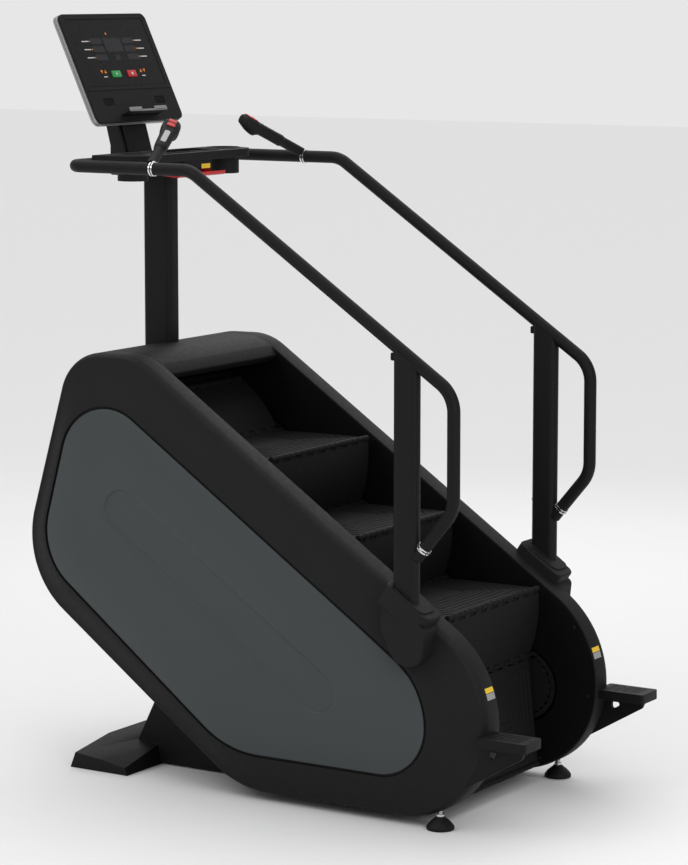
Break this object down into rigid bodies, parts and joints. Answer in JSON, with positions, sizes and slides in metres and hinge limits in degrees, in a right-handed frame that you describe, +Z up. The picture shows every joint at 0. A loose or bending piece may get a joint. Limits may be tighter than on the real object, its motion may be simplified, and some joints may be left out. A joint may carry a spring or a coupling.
{
  "type": "stair climber",
  "caption": "Gym stair climber: an endless hinged staircase between two rounded side casings, with bent handrails, a mast console, cup tray, front foot and rear levelling feet.",
  "frame": {"origin": "on the floor, in the middle of the bounding box", "axes": "+Z up, +X towards the rear end where the user steps on, +Y towards the user's right hand"},
  "size_m": [1.7476, 0.884, 2.2774],
  "materials": {
    "black_shell": "fine grained satin black",
    "slate_panel": "satin dark slate grey",
    "black_steel": "black powder coat",
    "step_plastic": "ribbed black step moulding",
    "bare_steel": "machined steel",
    "cast_housing": "cast housing",
    "silver_trim": "satin silver",
    "rubber": "matt black rubber",
    "dark_overlay": "satin black display overlay",
    "red_key": "red moulded plastic",
    "green_key": "green moulded plastic"
  },
  "bodies": {
    "machine": {"step_chain_left": "bare_steel", "step_chain_right": "bare_steel", "drive_belt": "rubber", "power_inlet": "rubber", "rail_grip_left": "rubber", "rail_grip_right": "rubber", "generator_housing": "cast_housing", "side_frame_left": "black_steel", "side_frame_right": "black_steel", "front_foot": "black_steel", "upper_cross_tube": "black_steel", "lower_cross_tube": "black_steel", "inner_wall_left": "black_steel", "inner_wall_right": "black_steel", "upright_left": "black_steel", "upright_right": "black_steel", "handrail_left": "black_steel", "handrail_right": "black_steel", "rear_pedal_left": "black_steel", "rear_pedal_right": "black_steel", "mast": "black_steel", "side_shell_left": "black_shell", "side_shell_right": "black_shell", "hood_cover": "black_shell", "front_cover": "black_shell", "belly_cover": "black_shell", "upright_collar_left": "black_shell", "upright_collar_right": "black_shell", "console_neck": "black_shell", "console_tray": "black_shell", "console_back": "black_shell", "console_bezel": "black_shell", "side_panel_left": "slate_panel", "side_panel_right": "slate_panel", "console_trim": "silver_trim", "device_ledge": "silver_trim", "console_overlay": "dark_overlay"},
    "stair_run": {"tread_a": "step_plastic", "riser_a": "step_plastic", "tread_b": "step_plastic", "riser_b": "step_plastic", "tread_c": "step_plastic", "riser_c": "step_plastic"},
    "lower_tread": {"tread_d": "step_plastic"},
    "lower_riser": {"riser_d": "step_plastic"},
    "upper_riser": {"riser_top": "step_plastic"},
    "upper_tread": {"tread_top": "step_plastic"},
    "return_run": {"return_step_lower": "step_plastic", "return_step_middle": "step_plastic", "return_step_upper": "step_plastic"},
    "lower_shaft": {"lower_sprocket_shaft": "bare_steel"},
    "upper_shaft": {"upper_sprocket_shaft": "bare_steel"},
    "generator_rotor": {"generator_pulley": "bare_steel"},
    "foot_left": {"levelling_foot_left": "rubber"},
    "foot_right": {"levelling_foot_right": "rubber"},
    "stop_bar": {"emergency_lever": "red_key"},
    "start_button": {"start_key": "green_key"},
    "stop_button": {"stop_key": "red_key"},
    "rocker_left": {"rocker_key_left": "red_key"},
    "rocker_right": {"rocker_key_right": "red_key"}
  },
  "joints": [
    {"name": "stair_travel", "type": "slide", "parent": "machine", "child": "stair_run", "axis": [0.8264, 0, -0.5631], "range_m": [0, 0.05]},
    {"name": "lower_tread_swing", "type": "hinge", "parent": "stair_run", "child": "lower_tread", "pos_m": [0.51157, 0, 0.38169], "axis": [0, 1, 0], "range_deg": [0, 27]},
    {"name": "lower_riser_swing", "type": "hinge", "parent": "lower_tread", "child": "lower_riser", "pos_m": [0.54699, 0, 0.05561], "axis": [0, 1, 0], "range_deg": [-6, 1]},
    {"name": "upper_riser_swing", "type": "hinge", "parent": "stair_run", "child": "upper_riser", "pos_m": [-0.38243, 0, 0.99085], "axis": [0, 1, 0], "range_deg": [0, 22]},
    {"name": "upper_tread_swing", "type": "hinge", "parent": "upper_riser", "child": "upper_tread", "pos_m": [-0.52175, 0, 1.14571], "axis": [0, 1, 0], "range_deg": [0, 6]},
    {"name": "return_travel", "type": "slide", "parent": "machine", "child": "return_run", "axis": [-0.8264, 0, 0.5631], "range_m": [0, 0.051]},
    {"name": "lower_shaft_spin", "type": "hinge", "parent": "machine", "child": "lower_shaft", "pos_m": [0.47881, 0, 0.283], "axis": [0, 1, 0], "continuous": true},
    {"name": "upper_shaft_spin", "type": "hinge", "parent": "machine", "child": "upper_shaft", "pos_m": [-0.45357, 0, 0.91831], "axis": [0, 1, 0], "continuous": true},
    {"name": "generator_spin", "type": "hinge", "parent": "machine", "child": "generator_rotor", "pos_m": [-0.32819, 0, 0.34], "axis": [0, 1, 0], "continuous": true},
    {"name": "start_key_press", "type": "slide", "parent": "machine", "child": "start_button", "axis": [-0.9042, 0, -0.4272], "range_m": [0, 0.0022], "stiffness_N_per_m": 600},
    {"name": "stop_key_press", "type": "slide", "parent": "machine", "child": "stop_button", "axis": [-0.9042, 0, -0.4272], "range_m": [0, 0.0022], "stiffness_N_per_m": 600},
    {"name": "stop_bar_press", "type": "hinge", "parent": "machine", "child": "stop_bar", "pos_m": [-0.53319, 0, 1.803], "axis": [0, -1, 0], "range_deg": [0, 7], "stiffness_Nm_per_rad": 8, "springref_deg": -2.86},
    {"name": "rocker_tilt_left", "type": "hinge", "parent": "machine", "child": "rocker_left", "pos_m": [-0.43871, -0.21124, 1.95595], "axis": [-0.8293, -0.4534, 0.3267], "range_deg": [-2.5, 2.5], "stiffness_Nm_per_rad": 0.3},
    {"name": "foot_turn_left", "type": "hinge", "parent": "machine", "child": "foot_left", "pos_m": [0.57181, -0.35, 0], "axis": [0, 0, 1], "continuous": true},
    {"name": "rocker_tilt_right", "type": "hinge", "parent": "machine", "child": "rocker_right", "pos_m": [-0.43871, 0.21124, 1.95595], "axis": [0.8293, -0.4534, -0.3267], "range_deg": [-2.5, 2.5], "stiffness_Nm_per_rad": 0.3},
    {"name": "foot_turn_right", "type": "hinge", "parent": "machine", "child": "foot_right", "pos_m": [0.57181, 0.35, 0], "axis": [0, 0, 1], "continuous": true}
  ],
  "couplings": [
    {"joint": "lower_tread_swing", "follows": "stair_travel", "rad_per_m": 9.144},
    {"joint": "lower_riser_swing", "follows": "stair_travel", "rad_per_m": -1.646},
    {"joint": "upper_riser_swing", "follows": "stair_travel", "rad_per_m": 7.498},
    {"joint": "upper_tread_swing", "follows": "stair_travel", "rad_per_m": 1.646},
    {"joint": "return_travel", "follows": "stair_travel", "ratio": 1},
    {"joint": "lower_shaft_spin", "follows": "stair_travel", "rad_per_m": 10},
    {"joint": "upper_shaft_spin", "follows": "stair_travel", "rad_per_m": 10},
    {"joint": "generator_spin", "follows": "stair_travel", "rad_per_m": 39.29}
  ]
}
